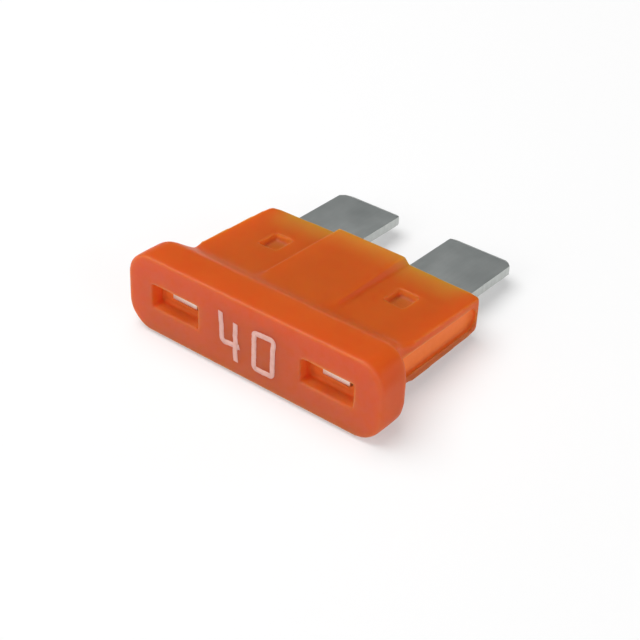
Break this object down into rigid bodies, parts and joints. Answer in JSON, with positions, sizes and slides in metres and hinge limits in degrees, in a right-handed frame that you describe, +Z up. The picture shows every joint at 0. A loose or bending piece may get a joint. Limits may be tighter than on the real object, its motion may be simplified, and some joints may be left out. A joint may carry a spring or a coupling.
{
  "type": "plug-in blade fuse",
  "caption": "Plug-in blade fuse: translucent orange moulded housing with test slots in its head, staked over a stamped metal strip whose flat blades push into a fuse holder.",
  "frame": {"origin": "under the middle of the whole part, on the plane that the head lies on", "axes": "+X along the head, +Y from the head's face to the blade tips, +Z up through the part's thickness"},
  "size_m": [0.0198, 0.0186, 0.0053],
  "materials": {
    "orange_plastic": "translucent moulded",
    "zinc_strip": "matte stamped zinc alloy",
    "white_print": "printed ink"
  },
  "bodies": {
    "root": {"housing": "orange_plastic", "fuse_element": "zinc_strip"}
  },
  "joints": []
}
